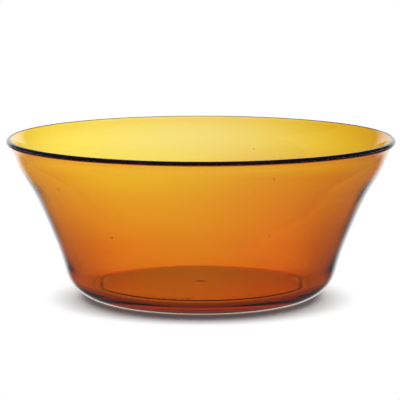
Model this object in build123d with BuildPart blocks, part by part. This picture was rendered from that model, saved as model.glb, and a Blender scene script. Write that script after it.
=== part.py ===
from build123d import *
import math
import os

# Pressed and tempered amber glass salad bowl: one piece of glass with a flared
# wall, a rounded lip, a rounded heel and an annular foot around a shallow
# recess underneath. Millimetres, +Z up along the bowl's axis, origin on the
# table plane at the axis. The mould marks under the floor are on the -Y side.

# ---- driving dimensions ------------------------------------------------------
rim_diameter = 230.0        # over the outermost line of the lip
height = 94.3               # table to the crest of the lip
lip_half_width = 1.95       # outer side of the lip: quarter oval, level direction
lip_half_height = 1.80      # outer side of the lip, upright direction
lip_start_angle = -45.5     # where the outer wall runs into that oval
lip_inner_width = 1.14      # inner side of the lip: a taller oval from the crest
lip_inner_height = 4.90
lip_inner_sweep = 9.3       # how far past the crest that oval goes

foot_outer_radius = 63.9    # outer edge of the ring that touches the table
foot_inner_radius = 60.5    # inner edge of the same ring
foot_edge_fillet = 0.5      # softened outer edge of the foot
foot_inner_fillet = 0.3     # softened inner edge of the foot
heel_start_angle = 8.0      # slope of the heel just outside the foot
recess_depth = 3.4          # underside recess inside the foot ring
recess_radius = 58.8        # the recess ceiling ends here, in a step down to the foot
recess_fillet = 0.4
floor_height = 6.35         # inner floor above the table
floor_fillet = 11.5         # blend from the inner floor to the inner wall
ring_groove_radius = 61.0   # shallow round groove in the inner floor
ring_groove_section = 1.6   # radius of the groove's rounded section
ring_groove_depth = 0.7

# outer wall: (height, outer radius, glass thickness square to the wall);
# the thickness is only used above the heel, where the inner wall starts
wall_stations = [
    (2.0, 69.80, 0.0),
    (5.1, 74.10, 0.0),
    (8.2, 76.85, 0.0),
    (12.3, 79.14, 0.0),
    (20.0, 81.46, 4.50),
    (35.0, 86.62, 4.10),
    (50.0, 92.83, 3.65),
    (65.0, 100.10, 3.20),
    (80.0, 108.42, 2.90),
]

dimple_radius = 3.6         # shallow round mark in the middle of the inner floor
dimple_depth = 0.60

pip_ring_radius = 50.0      # plain raised mould marks in the recess
pip_count = 7
pip_length = 8.0            # along the radius
pip_width = 1.8
pip_height = 1.2
pip_start_angle = 239.0     # degrees about +Z from +X
pip_range = 23.0

# ---- derived points of the section (radius, height) ---------------------------
lip_centre = (rim_diameter / 2 - lip_half_width, height - lip_half_height)
lip_inner_centre = (lip_centre[0], height - lip_inner_height)
outer_points = [(r, z) for z, r, t in wall_stations]


def wall_direction(i):
    # unit direction of the outer wall at station i, going up the wall
    below = outer_points[max(i - 1, 0)]
    above = (outer_points + [(rim_diameter / 2, lip_centre[1])])[i + 1]
    length = math.dist(below, above)
    return (above[0] - below[0]) / length, (above[1] - below[1]) / length


inner_points = []
for i, (z, r, t) in enumerate(wall_stations):
    if t > 0:
        dr, dz = wall_direction(i)
        inner_points.append((r - dz * t, z + dr * t))

# below its lowest station the inner wall runs straight on to the floor, and
# the corner there is rounded by floor_fillet
first = [t > 0 for z, r, t in wall_stations].index(True)
low_r, low_z = wall_direction(first)
run = (inner_points[0][1] - floor_height) / low_z
corner = (inner_points[0][0] - low_r * run, floor_height)
dimple_ball = (dimple_radius ** 2 + dimple_depth ** 2) / (2 * dimple_depth)
dimple_middle = (floor_height - dimple_depth + dimple_ball
                 - math.sqrt(dimple_ball ** 2 - dimple_radius ** 2 / 4))
groove_half = math.sqrt(
    ring_groove_section ** 2 - (ring_groove_section - ring_groove_depth) ** 2)

# ---- the bowl: one piece of glass ---------------------------------------------
with BuildPart() as bowl:
    with BuildSketch(Plane.XZ) as section:
        with BuildLine():
            lip = EllipticalCenterArc(
                lip_centre, lip_half_width, lip_half_height,
                start_angle=lip_start_angle, arc_size=90 - lip_start_angle,
            )
            lip_inner = EllipticalCenterArc(
                lip_inner_centre, lip_inner_width, lip_inner_height,
                start_angle=90, arc_size=lip_inner_sweep,
            )
            Spline(
                (foot_outer_radius, 0), *outer_points, lip @ 0,
                tangents=[
                    (math.cos(math.radians(heel_start_angle)),
                     math.sin(math.radians(heel_start_angle))),
                    lip % 0,
                ],
                tangent_scalars=[1, 1],
            )
            Spline(
                lip_inner @ 1, *reversed(inner_points),
                tangents=[lip_inner % 1, (-low_r, -low_z)],
                tangent_scalars=[1, 1],
            )
            Line(inner_points[0], corner)
            Line(corner, (ring_groove_radius + groove_half, floor_height))
            ThreePointArc(
                (ring_groove_radius + groove_half, floor_height),
                (ring_groove_radius, floor_height - ring_groove_depth),
                (ring_groove_radius - groove_half, floor_height),
            )
            Line((ring_groove_radius - groove_half, floor_height), (dimple_radius, floor_height))
            ThreePointArc(
                (dimple_radius, floor_height),
                (dimple_radius / 2, dimple_middle),
                (0, floor_height - dimple_depth),
            )
            Line((0, floor_height - dimple_depth), (0, recess_depth))
            Line((0, recess_depth), (recess_radius, recess_depth))
            Line((recess_radius, recess_depth), (foot_inner_radius, 0))
            Line((foot_inner_radius, 0), (foot_outer_radius, 0))
        make_face()
        for spot, radius in (
            (corner, floor_fillet),
            ((foot_outer_radius, 0), foot_edge_fillet),
            ((recess_radius, recess_depth), recess_fillet),
            ((foot_inner_radius, 0), foot_inner_fillet),
        ):
            fillet(section.vertices().sort_by_distance((*spot, 0))[0], radius)
    revolve(axis=Axis.Z)
    # plain raised marks that the mould leaves under the floor, clear of the table
    with BuildSketch(Plane.XY.offset(recess_depth)):
        with PolarLocations(
            pip_ring_radius, pip_count, pip_start_angle, pip_range, endpoint=True
        ):
            SlotOverall(pip_length, pip_width)
    extrude(amount=-pip_height)

bowl.part.label = "bowl"

os.makedirs("parts", exist_ok=True)
export_step(bowl.part, "parts/bowl.step")
print("volume mm3", round(bowl.part.volume), "mass g at 2.5 g/cm3",
      round(bowl.part.volume * 2.5e-3))
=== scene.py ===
import bpy
import math
import random
import numpy as np
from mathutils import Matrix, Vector, noise


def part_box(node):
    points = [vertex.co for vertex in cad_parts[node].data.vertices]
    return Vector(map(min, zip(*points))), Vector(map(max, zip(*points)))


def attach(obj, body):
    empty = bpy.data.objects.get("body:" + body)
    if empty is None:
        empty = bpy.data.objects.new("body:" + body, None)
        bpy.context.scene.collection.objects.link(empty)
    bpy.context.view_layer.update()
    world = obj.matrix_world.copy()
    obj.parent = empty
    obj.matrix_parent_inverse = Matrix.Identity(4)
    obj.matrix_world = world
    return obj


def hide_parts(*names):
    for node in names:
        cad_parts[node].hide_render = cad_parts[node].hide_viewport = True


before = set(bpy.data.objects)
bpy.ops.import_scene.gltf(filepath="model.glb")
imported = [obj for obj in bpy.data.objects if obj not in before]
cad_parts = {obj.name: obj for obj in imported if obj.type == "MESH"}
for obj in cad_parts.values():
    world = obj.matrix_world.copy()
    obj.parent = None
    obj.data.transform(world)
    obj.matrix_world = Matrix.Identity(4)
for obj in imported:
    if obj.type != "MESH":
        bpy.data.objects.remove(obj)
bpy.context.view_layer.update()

bowl_lo, bowl_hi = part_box("bowl")
MM = 0.001

# ---------------------------------------------------------------- section ----
# The same section as the CAD piece, in millimetres (radius, height above the
# table), rebuilt as a smooth line so that the glass has no facets.
RIM = 115.0
HEIGHT = 94.3
LIP_W, LIP_H = 1.95, 1.80          # outer half of the lip section
LIP_WI, LIP_HI = 1.14, 4.90          # inner half
LIP_START, LIP_END = -45.5, 99.3
FOOT_OUT, FOOT_IN, FOOT_EDGE, FOOT_IN_EDGE = 63.9, 60.5, 0.5, 0.3
HEEL_ANGLE = 8.0
RECESS_D, RECESS_R, RECESS_FIL = 3.4, 58.8, 0.4
FLOOR_Z, FLOOR_FIL = 6.35, 11.5
LINE_R, LINE_W, LINE_D = 61.0, 1.60, 0.70   # shallow round groove in the inner floor
WALL = [
    (2.0, 69.80, 0.0), (5.1, 74.10, 0.0), (8.2, 76.85, 0.0), (12.3, 79.14, 0.0),
    (20.0, 81.46, 4.50), (35.0, 86.62, 4.10), (50.0, 92.83, 3.65),
    (65.0, 100.10, 3.20), (80.0, 108.42, 2.90),
]
DIMPLE_R, DIMPLE_D = 3.6, 0.60
WAVE_SLOW, WAVE_FINE = 0.05, 0.012


def unit(v):
    n = math.hypot(*v)
    return (v[0] / n, v[1] / n)


def spline(points, t_start, t_end, step):
    """Cubic spline through points with clamped ends, chord-length parameters,
    sampled about every step millimetres."""
    p = np.array(points, float)
    h = np.linalg.norm(np.diff(p, axis=0), axis=1)
    n = len(p)
    a = np.zeros((n, n))
    b = np.zeros((n, 2))
    a[0, 0] = a[-1, -1] = 1
    b[0], b[-1] = t_start, t_end
    for i in range(1, n - 1):
        a[i, i - 1], a[i, i], a[i, i + 1] = h[i], 2 * (h[i - 1] + h[i]), h[i - 1]
        b[i] = 3 * (h[i - 1] * (p[i + 1] - p[i]) / h[i] + h[i] * (p[i] - p[i - 1]) / h[i - 1])
    d = np.linalg.solve(a, b)
    out = []
    for i in range(n - 1):
        k = max(2, int(round(h[i] / step)))
        for j in range(k):
            u = j / k
            h00 = 2 * u ** 3 - 3 * u ** 2 + 1
            h10 = u ** 3 - 2 * u ** 2 + u
            h01 = -2 * u ** 3 + 3 * u ** 2
            h11 = u ** 3 - u ** 2
            q = h00 * p[i] + h10 * h[i] * d[i] + h01 * p[i + 1] + h11 * h[i] * d[i + 1]
            out.append((float(q[0]), float(q[1])))
    out.append(tuple(map(float, p[-1])))
    return out


def fillet(before, corner, after, radius, steps):
    """Points of a circular arc that rounds corner, tangent to both straight sides."""
    u = unit((before[0] - corner[0], before[1] - corner[1]))
    v = unit((after[0] - corner[0], after[1] - corner[1]))
    cosang = max(-1.0, min(1.0, u[0] * v[0] + u[1] * v[1]))
    half = math.acos(cosang) / 2
    t = radius / math.tan(half)
    bis = unit((u[0] + v[0], u[1] + v[1]))
    c = (corner[0] + bis[0] * radius / math.sin(half), corner[1] + bis[1] * radius / math.sin(half))
    a0 = math.atan2(corner[1] + u[1] * t - c[1], corner[0] + u[0] * t - c[0])
    a1 = math.atan2(corner[1] + v[1] * t - c[1], corner[0] + v[0] * t - c[0])
    d = (a1 - a0 + math.pi) % (2 * math.pi) - math.pi
    return [(c[0] + radius * math.cos(a0 + d * i / steps), c[1] + radius * math.sin(a0 + d * i / steps))
            for i in range(steps + 1)]


def section():
    """Closed section from the axis on the inner floor, out, up, over the lip,
    down the outside, under the foot and back to the axis."""
    outer_pts = [(r, z) for z, r, t in WALL]

    def direction(i):
        lo = outer_pts[max(i - 1, 0)]
        hi = (outer_pts + [(RIM, HEIGHT - LIP_H)])[i + 1]
        return unit((hi[0] - lo[0], hi[1] - lo[1]))

    inner_pts = []
    for i, (z, r, t) in enumerate(WALL):
        if t > 0:
            dr, dz = direction(i)
            inner_pts.append((r - dz * t, z + dr * t))
    first = [t > 0 for z, r, t in WALL].index(True)
    low = direction(first)
    run = (inner_pts[0][1] - FLOOR_Z) / low[1]
    corner = (inner_pts[0][0] - low[0] * run, FLOOR_Z)

    def oval(a):
        w, h = (LIP_W, LIP_H) if a < 90 else (LIP_WI, LIP_HI)
        a = math.radians(a)
        return (RIM - LIP_W + w * math.cos(a), HEIGHT - h + h * math.sin(a))

    def oval_dir(a):
        w, h = (LIP_W, LIP_H) if a < 90 else (LIP_WI, LIP_HI)
        a = math.radians(a)
        return unit((-w * math.sin(a), h * math.cos(a)))

    heel = (math.cos(math.radians(HEEL_ANGLE)), math.sin(math.radians(HEEL_ANGLE)))
    outer = spline([(FOOT_OUT, 0.0)] + outer_pts + [oval(LIP_START)], heel, oval_dir(LIP_START), 1.6)
    inner = spline([oval(LIP_END)] + inner_pts[::-1], oval_dir(LIP_END), (-low[0], -low[1]), 2.6)
    lip = [oval(LIP_START + (LIP_END - LIP_START) * i / 24) for i in range(25)]

    ball = (DIMPLE_R ** 2 + DIMPLE_D ** 2) / (2 * DIMPLE_D)
    line = [(r, FLOOR_Z - DIMPLE_D + ball - math.sqrt(ball * ball - r * r))
            for r in (0.0, 0.6, 1.2, 1.8, 2.4, 3.0, DIMPLE_R)]
    line += [(r, FLOOR_Z) for r in (4.2, 9.0, 15.0, 22.0, 30.0, 38.0, 46.0, 54.0, 58.5)]
    half = math.sqrt(LINE_W ** 2 - (LINE_W - LINE_D) ** 2)
    line += [(LINE_R + half * s, FLOOR_Z + LINE_W - LINE_D - math.sqrt(LINE_W ** 2 - (half * s) ** 2))
             for s in (-1.0, -0.75, -0.5, -0.25, 0.0, 0.25, 0.5, 0.75, 1.0)]
    line += fillet((0.0, FLOOR_Z), corner, inner_pts[0], FLOOR_FIL, 22)
    line += inner[::-1]
    line += lip[::-1][1:]
    down = outer[::-1][1:]
    # keep the outer curve down to where the foot edge is rounded
    edge = fillet(down[-2], (FOOT_OUT, 0.0), (FOOT_IN, 0.0), FOOT_EDGE, 8)
    line += [q for q in down if q[0] > edge[0][0] + 0.15]
    line += edge
    line += fillet((FOOT_OUT, 0.0), (FOOT_IN, 0.0), (RECESS_R, RECESS_D), FOOT_IN_EDGE, 6)
    line += fillet((FOOT_IN, 0.0), (RECESS_R, RECESS_D), (0.0, RECESS_D), RECESS_FIL, 8)
    line += [(r, RECESS_D) for r in (56.5, 54.2, 54.0, 53.85, 53.7, 53.5, 53.2, 51.5, 50.0, 48.5, 46.8, 46.5,
                                  46.3, 46.15, 46.0, 45.8, 41.0, 33.0, 24.0, 14.0, 6.0, 0.0)]
    clean = [line[0]]
    for q in line[1:]:
        if math.dist(q, clean[-1]) > 0.02:
            clean.append(q)
    return clean


# Angles of the revolved rows: even all round, finer where the mould marks are.
PIP_R, PIP_N, PIP_LEN, PIP_W, PIP_H = 50.0, 7, 8.0, 1.8, 1.2
PIP_FROM, PIP_RANGE = 239.0, 23.0
angles = [262.8 + 0.95 * i for i in range(int((597.0 - 262.8) / 0.95) + 1)]
angles = [a for a in angles if a < 597.3 - 0.3] + [237.6 + 0.3 * i + 360 for i in range(84)]


def pip_drop(r, a):
    """How far the mould marks stand down from the recess ceiling at (r, a)."""
    for k in range(PIP_N):
        c = PIP_FROM + PIP_RANGE * k / (PIP_N - 1)
        along = (a % 360 - c) * math.pi / 180 * PIP_R
        away = abs(r - PIP_R) - (PIP_LEN - PIP_W) / 2
        d = math.hypot(max(away, 0.0), along) / (PIP_W / 2)
        if d < 1.0:
            return PIP_H * (1 - d ** 4) ** 2
    return 0.0


def wave(r, z, a):
    """Slight unevenness of the inner face that the plunger leaves, in mm."""
    x, y = math.cos(a) * 1.9, math.sin(a) * 1.9
    slow = noise.noise(Vector((x, y, z * 0.018)))
    fine = noise.noise(Vector((x * 5.5 + 7.3, y * 5.5, z * 0.03 + 3.1)))
    return WAVE_SLOW * slow + WAVE_FINE * fine


def revolve(name, line, inner_count):
    verts, faces = [], []
    n = len(angles)
    rad = [math.radians(a) for a in angles]
    rings = []
    last = len(line) - 1
    for i, (r, z) in enumerate(line):
        if r < 1e-6:
            rings.append([len(verts)])
            verts.append((0.0, 0.0, z * MM))
            continue
        rings.append(list(range(len(verts), len(verts) + n)))
        p, q = line[i - 1], line[min(i + 1, last)]
        t = unit((q[0] - p[0], q[1] - p[1]))
        under = abs(r - PIP_R) < PIP_LEN / 2 and z < FLOOR_Z - 2
        inner = i < inner_count and z > FLOOR_Z + 0.5
        fade = min(1.0, (z - FLOOR_Z) / 12.0, max(0.0, (HEIGHT - 4.0 - z) / 8.0)) if inner else 0.0
        for k in range(n):
            rr, zz = r, z
            if under:
                zz -= pip_drop(r, angles[k])
            if fade > 0:
                w = wave(r, z, rad[k]) * fade
                rr, zz = r - t[1] * w, z + t[0] * w
            verts.append((rr * math.cos(rad[k]) * MM, rr * math.sin(rad[k]) * MM, zz * MM))
    for p, q in zip(rings, rings[1:]):
        for k in range(n):
            m = (k + 1) % n
            if len(p) == 1:
                faces.append((p[0], q[k], q[m]))
            elif len(q) == 1:
                faces.append((p[k], q[0], p[m]))
            else:
                faces.append((p[k], q[k], q[m], p[m]))
    return verts, faces


def seed_bubble(verts, faces, centre, radius, stretch, tilt):
    """A tiny closed void in the glass; its faces look into the void."""
    base = len(verts)
    rows, cols = 8, 12
    for i in range(1, rows):
        t = math.pi * i / rows
        for j in range(cols):
            u = 2 * math.pi * j / cols
            v = Vector((math.sin(t) * math.cos(u), math.sin(t) * math.sin(u), stretch * math.cos(t)))
            v.rotate(tilt)
            verts.append(tuple(centre + v * radius))
    for s in (1, -1):
        v = Vector((0, 0, s * stretch))
        v.rotate(tilt)
        verts.append(tuple(centre + v * radius))
    top, bottom = len(verts) - 2, len(verts) - 1
    for j in range(cols):
        m = (j + 1) % cols
        faces.append((top, base + m, base + j))
        for i in range(rows - 2):
            p, q = base + i * cols, base + (i + 1) * cols
            faces.append((p + j, p + m, q + m, q + j))
        e = base + (rows - 2) * cols
        faces.append((bottom, e + j, e + m))


line = section()
lip_at = max(range(len(line)), key=lambda i: line[i][1])
verts, faces = revolve("glass_bowl", line, lip_at)

# seed bubbles inside the wall: (angle about +Z, height, size), mid-glass
SEEDS = [
    (218.6, 72.5, 0.52), (236.2, 46.4, 0.52), (232.4, 44.0, 0.34), (243.4, 45.0, 0.31),
    (291.8, 83.0, 0.38), (286.3, 76.2, 0.35), (295.0, 48.7, 0.52), (71.0, 74.5, 0.38),
    (128.0, 35.0, 0.38), (20.0, 55.0, 0.38), (165.0, 70.0, 0.31), (100.0, 58.0, 0.29),
]
outer_half = line[lip_at:]
for a, z, size in SEEDS:
    inner_r = next(r0 + (r1 - r0) * (z - z0) / (z1 - z0)
                   for (r0, z0), (r1, z1) in zip(line[:lip_at], line[1:lip_at + 1])
                   if z0 <= z <= z1 and z1 > z0)
    outer_r = next(r0 + (r1 - r0) * (z - z0) / (z1 - z0)
                   for (r0, z0), (r1, z1) in zip(outer_half, outer_half[1:])
                   if z1 <= z <= z0 and z1 < z0)
    mid = (inner_r + outer_r) / 2
    at = Vector((mid * math.cos(math.radians(a)), mid * math.sin(math.radians(a)), z)) * MM
    turn = Vector((math.cos(math.radians(a)), math.sin(math.radians(a)), 0)).to_track_quat("Y", "Z")
    seed_bubble(verts, faces, at, size * MM, 1.25, turn)

mesh = bpy.data.meshes.new("glass_bowl")
mesh.from_pydata(verts, [], faces)
mesh.update()
bowl = bpy.data.objects.new("glass_bowl", mesh)
bpy.context.scene.collection.objects.link(bowl)
mesh.polygons.foreach_set("use_smooth", [True] * len(mesh.polygons))
print("bowl triangles", sum(len(p.vertices) - 2 for p in mesh.polygons), "section points", len(line))

# ---------------------------------------------------------------- glass ------
glass = bpy.data.materials.new("amber_glass")
glass.use_nodes = True
nt = glass.node_tree
bsdf = nt.nodes["Principled BSDF"]
bsdf.inputs["Base Color"].default_value = (1, 1, 1, 1)


def gnode(kind, **values):
    n = nt.nodes.new(kind)
    for k, v in values.items():
        setattr(n, k, v)
    return n


def grange(source, lo, hi, a, b, kind="SMOOTHSTEP"):
    n = gnode("ShaderNodeMapRange", interpolation_type=kind)
    for name, v in (("From Min", lo), ("From Max", hi), ("To Min", a), ("To Max", b)):
        n.inputs[name].default_value = v
    nt.links.new(source, n.inputs["Value"])
    return n.outputs["Result"]


def gmath(op, a, b):
    n = gnode("ShaderNodeMath", operation=op)
    for i, v in enumerate((a, b)):
        if isinstance(v, (int, float)):
            n.inputs[i].default_value = v
        else:
            nt.links.new(v, n.inputs[i])
    return n.outputs[0]


# fire-polished all over, mould-matt under the floor, scuffed on the foot ring
UNDER_MATT, FOOT_SCUFF, POLISH = 0.10, 0.25, 0.004
coords = gnode("ShaderNodeTexCoord")
parts = gnode("ShaderNodeSeparateXYZ")
nt.links.new(coords.outputs["Object"], parts.inputs[0])
height = parts.outputs["Z"]
flat_pos = gnode("ShaderNodeCombineXYZ")
nt.links.new(parts.outputs["X"], flat_pos.inputs["X"])
nt.links.new(parts.outputs["Y"], flat_pos.inputs["Y"])
radial = gnode("ShaderNodeVectorMath", operation="LENGTH")
nt.links.new(flat_pos.outputs[0], radial.inputs[0])
within = grange(radial.outputs["Value"], 0.0590, 0.0600, 1.0, 0.0)
beneath = grange(height, 0.0046, 0.0050, 1.0, 0.0)
matt_noise = gnode("ShaderNodeTexNoise")
matt_noise.inputs["Scale"].default_value = 420.0
matt_noise.inputs["Detail"].default_value = 3.0
nt.links.new(coords.outputs["Object"], matt_noise.inputs["Vector"])
matt = gmath("MULTIPLY", gmath("MULTIPLY", within, beneath),
             grange(matt_noise.outputs["Fac"], 0.3, 0.7, UNDER_MATT * 0.6, UNDER_MATT * 1.3))
on_foot = grange(height, 0.00004, 0.00022, 1.0, 0.0)
scratch = gnode("ShaderNodeTexNoise")
scratch.inputs["Scale"].default_value = 900.0
scratch.inputs["Detail"].default_value = 4.0
nt.links.new(coords.outputs["Object"], scratch.inputs["Vector"])
scuff = gmath("MULTIPLY", on_foot, grange(scratch.outputs["Fac"], 0.35, 0.65, FOOT_SCUFF * 0.3, FOOT_SCUFF))
skin = gnode("ShaderNodeTexNoise")
skin.inputs["Scale"].default_value = 55.0
skin.inputs["Detail"].default_value = 2.0
nt.links.new(coords.outputs["Object"], skin.inputs["Vector"])
polish = grange(skin.outputs["Fac"], 0.35, 0.75, 0.0, POLISH)
nt.links.new(gmath("MAXIMUM", polish, gmath("MAXIMUM", matt, scuff)), bsdf.inputs["Roughness"])
# very faint drawn-out unevenness of the pressed surface
grain = gnode("ShaderNodeTexNoise")
grain.inputs["Scale"].default_value = 38.0
grain.inputs["Detail"].default_value = 3.0
stretch_map = gnode("ShaderNodeMapping")
stretch_map.inputs["Scale"].default_value = (1.0, 1.0, 0.22)
nt.links.new(coords.outputs["Object"], stretch_map.inputs["Vector"])
nt.links.new(stretch_map.outputs[0], grain.inputs["Vector"])
bump = gnode("ShaderNodeBump")
bump.inputs["Strength"].default_value = 0.25
bump.inputs["Distance"].default_value = 0.00012
nt.links.new(grain.outputs["Fac"], bump.inputs["Height"])
nt.links.new(bump.outputs[0], bsdf.inputs["Normal"])
bsdf.inputs["IOR"].default_value = 1.52
bsdf.inputs["Transmission Weight"].default_value = 1.0
absorb = nt.nodes.new("ShaderNodeVolumeAbsorption")
absorb.inputs["Color"].default_value = (0.9745, 0.8535, 0.49, 1)
absorb.inputs["Density"].default_value = 1000.0
nt.links.new(absorb.outputs[0], nt.nodes["Material Output"].inputs["Volume"])
bowl.data.materials.append(glass)
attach(bowl, "root")
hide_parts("bowl")

# ---------------------------------------------------------------- stage ------
bpy.ops.mesh.primitive_plane_add(size=60.0, location=(0, 0, 0))
floor = bpy.context.object
floor.name = "studio_floor"
fm = bpy.data.materials.new("studio_floor")
fm.use_nodes = True
ft = fm.node_tree
fb = ft.nodes["Principled BSDF"]
FLOOR_GLOW = 1.0
# painted contact shadow on the floor: reach, levels and tilt of the occlusion; CONTACT is its darkest value
# and SHADOW_WARMTH its warm tint
AO_DIST, AO_LO, AO_HI, TILT = 0.027, 0.30, 0.80, 45.0
CONTACT = 0.10
SHADOW_WARMTH = 1.12
# painted light under the foot: where the amber glow ends, its strength at the back and the front, and its
# colours under the floor and under the foot ring
MASK_IN, MASK_OUT = 0.062, 0.0685
UNDER_BACK, UNDER_FRONT = 0.05, 0.66
UNDER_GLOW_COLOUR = (1.0, 0.15, 0.06)
FOOT_GLOW_COLOUR = (0.80, 0.50, 0.18)
fb.inputs["Base Color"].default_value = (0.0, 0.0, 0.0, 1)
fb.inputs["Roughness"].default_value = 0.3
fb.inputs["Specular IOR Level"].default_value = 0.0


def fnode(kind, **values):
    n = ft.nodes.new(kind)
    for k, v in values.items():
        setattr(n, k, v)
    return n


def frange(source, lo, hi, a, b, kind="LINEAR"):
    n = fnode("ShaderNodeMapRange", interpolation_type=kind)
    for name, v in (("From Min", lo), ("From Max", hi), ("To Min", a), ("To Max", b)):
        n.inputs[name].default_value = v
    ft.links.new(source, n.inputs["Value"])
    return n.outputs["Result"]


# painted contact shadow: ambient occlusion with its normal tilted to the back darkens the floor's glow, as
# the shadow of a broad light from behind and above would
ao = fnode("ShaderNodeAmbientOcclusion", samples=16)
ao.inputs["Distance"].default_value = AO_DIST
tilt = fnode("ShaderNodeCombineXYZ")
tilt.inputs["Y"].default_value = math.sin(math.radians(TILT))
tilt.inputs["Z"].default_value = math.cos(math.radians(TILT))
ft.links.new(tilt.outputs[0], ao.inputs["Normal"])
seen = frange(ao.outputs["AO"], AO_LO, AO_HI, CONTACT ** 2, 1.0)
root = fnode("ShaderNodeMath", operation="POWER")
root.inputs[1].default_value = 0.5
ft.links.new(seen, root.inputs[0])
warm = fnode("ShaderNodeMath", operation="POWER")
warm.inputs[1].default_value = SHADOW_WARMTH
ft.links.new(root.outputs[0], warm.inputs[0])
toned = fnode("ShaderNodeCombineXYZ")
ft.links.new(root.outputs[0], toned.inputs["X"])
ft.links.new(warm.outputs[0], toned.inputs["Y"])
ft.links.new(warm.outputs[0], toned.inputs["Z"])
sky = fnode("ShaderNodeVectorMath", operation="SCALE")
sky.inputs["Scale"].default_value = FLOOR_GLOW
ft.links.new(toned.outputs[0], sky.inputs[0])
# the floor's glow with the painted contact shadow in it
floor_glow_painted_shadow = sky.outputs[0]
# painted light: an amber glow on the floor under the foot, strong to the front and faint to the back, stands
# in for the light that comes down through the bottom of the bowl
where = fnode("ShaderNodeNewGeometry")
split = fnode("ShaderNodeSeparateXYZ")
ft.links.new(where.outputs["Position"], split.inputs[0])
flat = fnode("ShaderNodeCombineXYZ")
ft.links.new(split.outputs["X"], flat.inputs["X"])
ft.links.new(split.outputs["Y"], flat.inputs["Y"])
dist = fnode("ShaderNodeVectorMath", operation="LENGTH")
ft.links.new(flat.outputs[0], dist.inputs[0])
inside = frange(dist.outputs["Value"], MASK_IN, MASK_OUT, 1.0, 0.0, "SMOOTHSTEP")
through = frange(split.outputs["Y"], -0.055, 0.055, UNDER_FRONT, UNDER_BACK)
glow = fnode("ShaderNodeMix", data_type="RGBA", blend_type="MIX")
glow_colours = fnode("ShaderNodeMix", data_type="RGBA", blend_type="MIX")
ft.links.new(frange(dist.outputs["Value"], 0.056, 0.062, 0.0, 1.0, "SMOOTHSTEP"), glow_colours.inputs[0])
glow_colours.inputs[6].default_value = (*UNDER_GLOW_COLOUR, 1)
glow_colours.inputs[7].default_value = (*FOOT_GLOW_COLOUR, 1)
amber = fnode("ShaderNodeVectorMath", operation="SCALE")
ft.links.new(glow_colours.outputs[2], amber.inputs[0])
ft.links.new(through, amber.inputs["Scale"])
ft.links.new(inside, glow.inputs[0])
ft.links.new(floor_glow_painted_shadow, glow.inputs[6])
ft.links.new(amber.outputs[0], glow.inputs[7])
ft.links.new(glow.outputs[2], fb.inputs["Emission Color"])
fb.inputs["Emission Strength"].default_value = 1.0
floor.data.materials.append(fm)
floor.visible_glossy = False

# a broad light panel close behind the bowl, hidden from the camera: brightest
# to the upper left, warmer and dimmer to the right and towards the table
PANEL_GAIN = 1.5
PANEL_GAP, PANEL_ENDS = 2.0, -60.0
shell = [(r + PANEL_GAP, z) for r, z in line[lip_at:] if z > 0.4 and r > FOOT_OUT]
shell = [(RIM + PANEL_GAP + 60, 250.0), (RIM + PANEL_GAP + 2, HEIGHT + 4)] + \
    [q for q in shell if q[1] < HEIGHT - LIP_H] + [(FOOT_OUT + PANEL_GAP, 0.3)]
panel_verts, panel_faces, turns = [], [], 160
for r, z in shell:
    for k in range(turns + 1):
        a = math.radians(PANEL_ENDS + (180 - 2 * PANEL_ENDS) * k / turns)
        panel_verts.append((r * math.cos(a) * MM, r * math.sin(a) * MM, z * MM))
for i in range(len(shell) - 1):
    for k in range(turns):
        p = i * (turns + 1) + k
        panel_faces.append((p, p + 1, p + turns + 2, p + turns + 1))
panel_mesh = bpy.data.meshes.new("light_panel")
panel_mesh.from_pydata(panel_verts, [], panel_faces)
panel = bpy.data.objects.new("light_panel", panel_mesh)
bpy.context.scene.collection.objects.link(panel)
pm = bpy.data.materials.new("light_panel")
pm.use_nodes = True
pt = pm.node_tree
pt.nodes.remove(pt.nodes["Principled BSDF"])
glow_out = pt.nodes.new("ShaderNodeEmission")
pt.links.new(glow_out.outputs[0], pt.nodes["Material Output"].inputs["Surface"])
place = pt.nodes.new("ShaderNodeNewGeometry")
axes = pt.nodes.new("ShaderNodeSeparateXYZ")
pt.links.new(place.outputs["Position"], axes.inputs[0])


def panel_ramp(axis, lo, hi, stops):
    m = pt.nodes.new("ShaderNodeMapRange")
    m.inputs["From Min"].default_value, m.inputs["From Max"].default_value = lo, hi
    pt.links.new(axes.outputs[axis], m.inputs["Value"])
    r = pt.nodes.new("ShaderNodeValToRGB")
    r.color_ramp.interpolation = "B_SPLINE"
    while len(r.color_ramp.elements) < len(stops):
        r.color_ramp.elements.new(0.5)
    for e, (p, c) in zip(r.color_ramp.elements, stops):
        e.position = (p - lo) / (hi - lo)
        e.color = (*[v / PANEL_GAIN for v in c], 1)
    pt.links.new(m.outputs["Result"], r.inputs[0])
    return r.outputs[0]


ACROSS_FOOT = [(-0.10, (0.82, 0.50, 0.75)), (-0.07, (0.92, 0.62, 0.75)), (-0.05, (1.0, 0.76, 0.75)), (-0.03, (1.02, 0.84, 0.75)),
               (0.0, (1.0, 0.84, 0.75)), (0.032, (0.98, 0.68, 0.75)), (0.06, (0.88, 0.50, 0.75)), (0.08, (0.70, 0.38, 0.6))]
ACROSS_MID = [(-0.10, (1.02, 1.00, 0.50)), (-0.08, (1.10, 1.20, 0.50)), (-0.05, (1.12, 1.40, 0.55)), (0.0, (1.04, 1.11, 0.55)),
              (0.032, (0.96, 0.87, 0.50)), (0.06, (0.89, 0.70, 0.35)), (0.09, (0.76, 0.50, 0.20))]
ACROSS_RIM = [(-0.10, (1.20, 1.43, 0.50)), (-0.05, (1.14, 1.33, 0.90)), (0.0, (1.07, 1.19, 0.98)),
              (0.032, (1.03, 1.12, 0.72)), (0.06, (0.98, 1.00, 0.36)), (0.09, (0.87, 0.78, 0.08))]
rows = [panel_ramp("X", -0.11, 0.11, stops) for stops in (ACROSS_FOOT, ACROSS_MID, ACROSS_RIM)]
mixed = rows[0]
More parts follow.
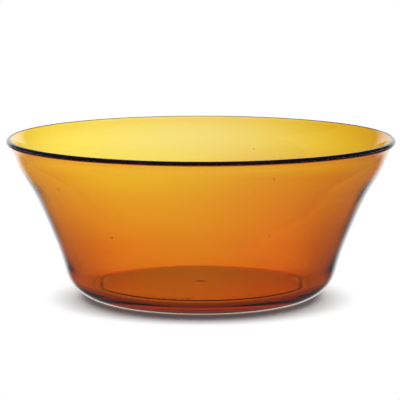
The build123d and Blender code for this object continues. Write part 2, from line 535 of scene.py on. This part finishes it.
for upper, (lo, hi) in zip(rows[1:], ((0.012, 0.057), (0.060, 0.078))):
    lift = pt.nodes.new("ShaderNodeMapRange")
    lift.inputs["From Min"].default_value, lift.inputs["From Max"].default_value = lo, hi
    pt.links.new(axes.outputs["Z"], lift.inputs["Value"])
    across = pt.nodes.new("ShaderNodeMix")
    across.data_type = "RGBA"
    pt.links.new(lift.outputs["Result"], across.inputs[0])
    pt.links.new(mixed, across.inputs[6])
    pt.links.new(upper, across.inputs[7])
    mixed = across.outputs[2]
# dimmer and browner towards both flanks, most of all low down and on the right


def pmath(op, a, b=0.0):
    n = pt.nodes.new("ShaderNodeMath")
    n.operation = op
    for i, v in enumerate((a, b)):
        if isinstance(v, (int, float)):
            n.inputs[i].default_value = v
        else:
            pt.links.new(v, n.inputs[i])
    return n.outputs[0]


def prange(source, lo, hi, a, b, kind="LINEAR"):
    n = pt.nodes.new("ShaderNodeMapRange")
    n.interpolation_type = kind
    for name, v in (("From Min", lo), ("From Max", hi), ("To Min", a), ("To Max", b)):
        n.inputs[name].default_value = v
    pt.links.new(source, n.inputs["Value"])
    return n.outputs["Result"]


EDGE_TINT = (0.38, 0.28, 0.22)
px, py = axes.outputs["X"], axes.outputs["Y"]
reach = pmath("SQRT", pmath("ADD", pmath("MULTIPLY", px, px), pmath("MULTIPLY", py, py)))
flank = prange(pmath("DIVIDE", py, reach), 0.0, 0.80, 1.0, 0.0, "SMOOTHSTEP")
amount = pmath("MULTIPLY", pmath("MULTIPLY", flank, prange(axes.outputs["Z"], 0.012, 0.055, 1.0, 0.15)),
               prange(px, -0.02, 0.02, 0.75, 1.15))
shade = pt.nodes.new("ShaderNodeMix")
shade.data_type = "RGBA"
shade.inputs[6].default_value = (1, 1, 1, 1)
shade.inputs[7].default_value = (*EDGE_TINT, 1)
pt.links.new(pmath("MINIMUM", amount, 1.0), shade.inputs[0])
shaded = pt.nodes.new("ShaderNodeMix")
shaded.data_type = "RGBA"
shaded.blend_type = "MULTIPLY"
shaded.inputs[0].default_value = 1.0
pt.links.new(mixed, shaded.inputs[6])
pt.links.new(shade.outputs[2], shaded.inputs[7])
pt.links.new(shaded.outputs[2], glow_out.inputs["Color"])
glow_out.inputs["Strength"].default_value = PANEL_GAIN
# round the flanks the panel thins out to nothing, so that it has no visible end
FADE_FROM, FADE_TO = -0.10, -0.80
clear = pt.nodes.new("ShaderNodeBsdfTransparent")
veil = pt.nodes.new("ShaderNodeMixShader")
pt.links.new(prange(pmath("DIVIDE", py, reach), FADE_TO, FADE_FROM, 0.0, 1.0, "SMOOTHSTEP"), veil.inputs[0])
pt.links.new(clear.outputs[0], veil.inputs[1])
pt.links.new(glow_out.outputs[0], veil.inputs[2])
pt.links.new(veil.outputs[0], pt.nodes["Material Output"].inputs["Surface"])
panel.data.materials.append(pm)
panel.visible_camera = False
panel.visible_glossy = False
panel.visible_diffuse = False
panel.visible_shadow = False

# painted light: a glowing ring on the table in front of the foot stands in for the light that the glass
# throws there; it is seen only through the heel
# colour and reach of the painted light ring
RING_GLOW = (0.26, 0.15, 0.12)
RING_IN, RING_OUT = 63.0, 84.0
ring_verts, ring_faces = [], []
for r in (RING_IN, RING_OUT):
    for k in range(121):
        a = math.radians(170 + 200 * k / 120)
        ring_verts.append((r * math.cos(a) * MM, r * math.sin(a) * MM, 0.00008))
for k in range(120):
    ring_faces.append((k, k + 1, k + 122, k + 121))
ring_mesh = bpy.data.meshes.new("table_glow")
ring_mesh.from_pydata(ring_verts, [], ring_faces)
table_glow = bpy.data.objects.new("table_glow", ring_mesh)
bpy.context.scene.collection.objects.link(table_glow)
rm = bpy.data.materials.new("table_glow")
rm.use_nodes = True
rt = rm.node_tree
rt.nodes.remove(rt.nodes["Principled BSDF"])
ring_light = rt.nodes.new("ShaderNodeEmission")
ring_light.inputs["Color"].default_value = (*RING_GLOW, 1)
rt.links.new(ring_light.outputs[0], rt.nodes["Material Output"].inputs["Surface"])
table_glow.data.materials.append(rm)
table_glow.visible_camera = False
table_glow.visible_glossy = False
table_glow.visible_diffuse = False
table_glow.visible_shadow = False

scene = bpy.context.scene
world = bpy.data.worlds.new("studio")
scene.world = world
world.use_nodes = True
wn = world.node_tree
bg = wn.nodes["Background"]

def wnode(kind, **values):
    n = wn.nodes.new(kind)
    for k, v in values.items():
        if k[:2] == "in" and k[2:].isdigit():
            n.inputs[int(k[2:])].default_value = v
        else:
            setattr(n, k, v)
    return n


HORIZON, DARK, LOW, LOW_BACK = 1.05, 0.10, 0.15, 1.0
WINDOW, WIN_IN, WIN_OUT = 1.1, 0.94, 0.80


def ramp_range(source, lo, hi, a, b, kind="SMOOTHSTEP"):
    n = wnode("ShaderNodeMapRange", interpolation_type=kind)
    for name, v in (("From Min", lo), ("From Max", hi), ("To Min", a), ("To Max", b)):
        n.inputs[name].default_value = v
    wn.links.new(source, n.inputs["Value"])
    return n.outputs["Result"]


def wmath(op, a, b):
    n = wnode("ShaderNodeMath", operation=op)
    for i, v in enumerate((a, b)):
        if isinstance(v, (int, float)):
            n.inputs[i].default_value = v
        else:
            wn.links.new(v, n.inputs[i])
    return n.outputs[0]


tc = wnode("ShaderNodeTexCoord")
sep = wnode("ShaderNodeSeparateXYZ")
wn.links.new(tc.outputs["Generated"], sep.inputs[0])
z = sep.outputs["Z"]
above = ramp_range(z, 0.035, 0.06, HORIZON, DARK)
ahead = ramp_range(sep.outputs["Y"], 0.80, 0.96, LOW, LOW_BACK)
below = wmath("MAXIMUM", ahead, ramp_range(z, -0.03, -0.015, 0.0, HORIZON))
ring = wmath("MINIMUM", above, below)
window = ramp_range(sep.outputs["Y"], WIN_OUT, WIN_IN, 0.0, WINDOW)
total = wmath("MAXIMUM", ring, window)
wn.links.new(total, bg.inputs["Strength"])
bg.inputs["Color"].default_value = (1, 1, 1, 1)

cam = bpy.data.cameras.new("camera")
cam.sensor_width = 36
cam.lens = 2381 * 36 / 400
cam.clip_end = 200
co = bpy.data.objects.new("camera", cam)
co.location = (-0.00054, -1.4, 0.2625)
co.rotation_euler = (math.radians(90 - 8.37), 0, 0)
scene.collection.objects.link(co)
scene.camera = co

scene.view_settings.view_transform = "Standard"
scene.cycles.max_bounces = 24
scene.cycles.transmission_bounces = 24
scene.cycles.glossy_bounces = 8
scene.cycles.caustics_refractive = True
scene.cycles.caustics_reflective = True
scene.cycles.use_denoising = True
